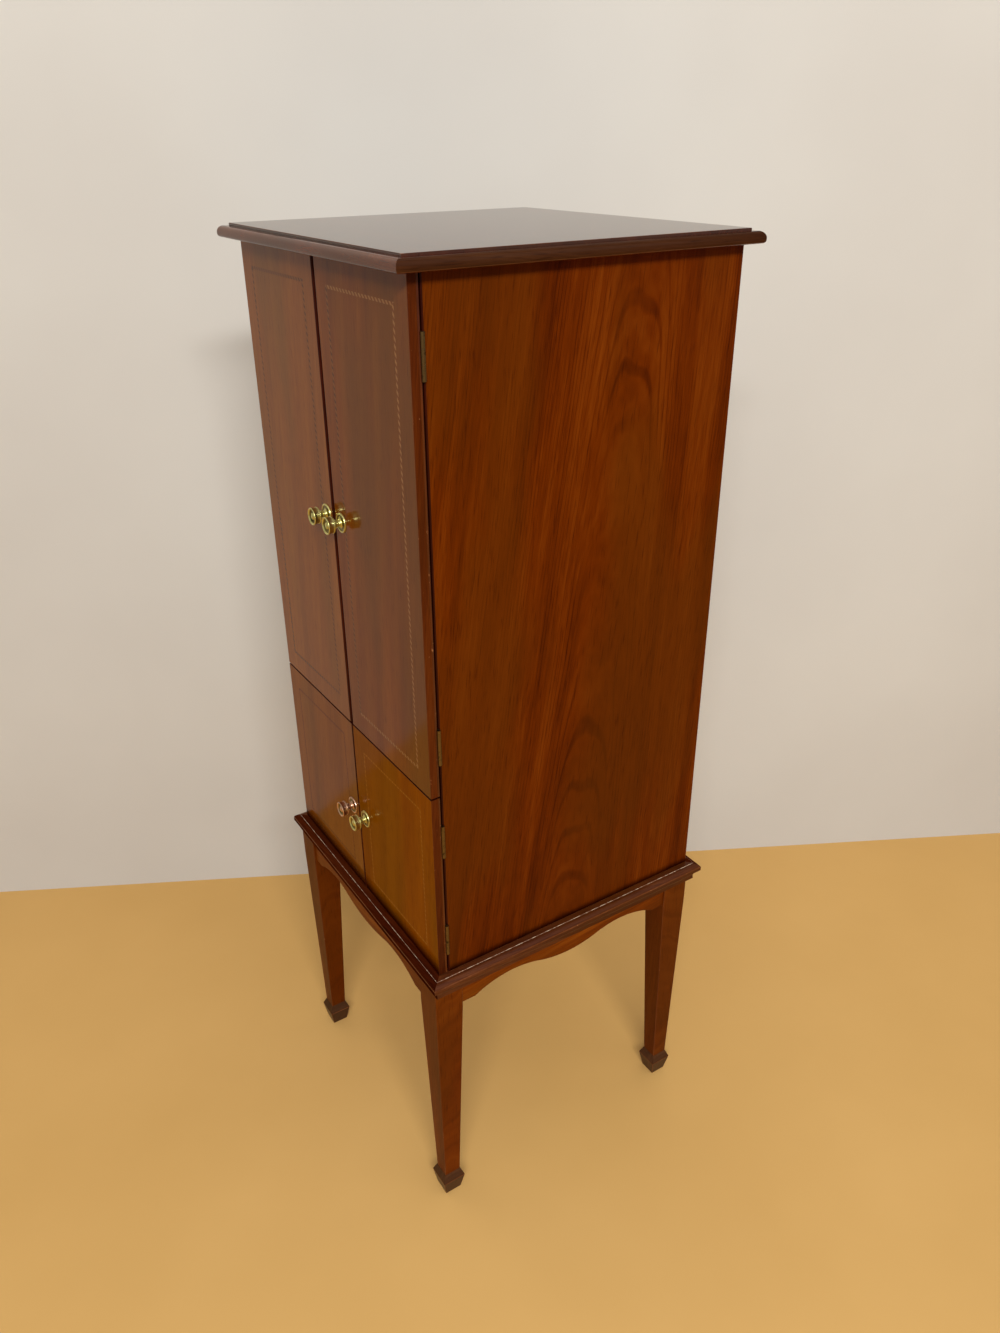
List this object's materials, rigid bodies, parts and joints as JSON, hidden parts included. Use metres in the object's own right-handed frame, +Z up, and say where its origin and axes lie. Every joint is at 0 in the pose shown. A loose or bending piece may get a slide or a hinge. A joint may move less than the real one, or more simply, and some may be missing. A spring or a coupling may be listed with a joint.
{
  "type": "storage cabinet",
  "caption": "Small square polished wood cabinet on a stand: tall and short pairs of inlaid doors, moulded top, shaped aprons and tapered legs on spade feet.",
  "frame": {"origin": "on the floor under the middle of the cabinet's outline, seen from above", "axes": "+Z up, doors face -Y, +X to the right of a person who faces the doors"},
  "size_m": [0.379, 0.3766, 1.067],
  "materials": {
    "show_mahogany": "French-polished mahogany, high gloss, worn",
    "leg_mahogany": "solid mahogany, polished, worn at the edges",
    "dark_mahogany": "dark stained mahogany, polished, chipped at the edges",
    "secondary_wood": "unpolished softwood of the inner pieces",
    "rope_inlay": "rope string of light and dark woods, under polish",
    "line_inlay": "plain string of light and dark woods, under polish",
    "knob_brass": "turned brass, rubbed bright on the rims",
    "hinge_brass": "dull old brass",
    "screw_steel": "steel wood screws"
  },
  "bodies": {
    "cabinet": {"top_board": "show_mahogany", "side_panel_left": "show_mahogany", "side_panel_right": "show_mahogany", "back_panel": "secondary_wood", "bottom_board": "secondary_wood", "divider_board": "secondary_wood", "upper_shelf": "secondary_wood", "shelf_bearers": "secondary_wood", "top_rails": "secondary_wood", "leg_front_left": "leg_mahogany", "leg_front_right": "leg_mahogany", "leg_back_left": "leg_mahogany", "leg_back_right": "leg_mahogany", "spade_foot_front_left": "dark_mahogany", "spade_foot_front_right": "dark_mahogany", "spade_foot_back_left": "dark_mahogany", "spade_foot_back_right": "dark_mahogany", "apron_front": "leg_mahogany", "apron_back": "leg_mahogany", "apron_left": "leg_mahogany", "apron_right": "leg_mahogany", "stand_moulding_front": "dark_mahogany", "stand_moulding_back": "dark_mahogany", "stand_moulding_left": "dark_mahogany", "stand_moulding_right": "dark_mahogany", "corner_blocks": "secondary_wood", "hinge_case_leaves": "hinge_brass", "hinge_pins": "hinge_brass", "hinge_case_screws": "screw_steel", "catch_springs": "hinge_brass", "case_screws": "screw_steel", "back_panel_screws": "screw_steel"},
    "upper_left_door": {"upper_left_door_panel": "show_mahogany", "upper_left_string_inlay": "rope_inlay", "upper_left_knob": "knob_brass", "upper_left_knob_plate": "knob_brass", "upper_left_hinge_door_leaves": "hinge_brass", "upper_left_hinge_door_screws": "screw_steel", "upper_left_catch_stud": "hinge_brass"},
    "upper_right_door": {"upper_right_door_panel": "show_mahogany", "upper_right_string_inlay": "rope_inlay", "upper_right_knob": "knob_brass", "upper_right_knob_plate": "knob_brass", "upper_right_hinge_door_leaves": "hinge_brass", "upper_right_hinge_door_screws": "screw_steel", "upper_right_catch_stud": "hinge_brass"},
    "lower_left_door": {"lower_left_door_panel": "show_mahogany", "lower_left_string_inlay": "line_inlay", "lower_left_knob": "knob_brass", "lower_left_knob_plate": "knob_brass", "lower_left_hinge_door_leaves": "hinge_brass", "lower_left_hinge_door_screws": "screw_steel", "lower_left_catch_stud": "hinge_brass"},
    "lower_right_door": {"lower_right_door_panel": "show_mahogany", "lower_right_string_inlay": "line_inlay", "lower_right_knob": "knob_brass", "lower_right_knob_plate": "knob_brass", "lower_right_hinge_door_leaves": "hinge_brass", "lower_right_hinge_door_screws": "screw_steel", "lower_right_catch_stud": "hinge_brass"}
  },
  "joints": [
    {"name": "upper_left_door_hinge", "type": "hinge", "parent": "cabinet", "child": "upper_left_door", "pos_m": [-0.1735, -0.16025, 0.815], "axis": [0, 0, -1], "range_deg": [0, 175]},
    {"name": "upper_right_door_hinge", "type": "hinge", "parent": "cabinet", "child": "upper_right_door", "pos_m": [0.1735, -0.16025, 0.815], "axis": [0, 0, 1], "range_deg": [0, 175]},
    {"name": "lower_left_door_hinge", "type": "hinge", "parent": "cabinet", "child": "lower_left_door", "pos_m": [-0.1735, -0.16025, 0.46675], "axis": [0, 0, -1], "range_deg": [0, 175]},
    {"name": "lower_right_door_hinge", "type": "hinge", "parent": "cabinet", "child": "lower_right_door", "pos_m": [0.1735, -0.16025, 0.46675], "axis": [0, 0, 1], "range_deg": [0, 175]}
  ]
}
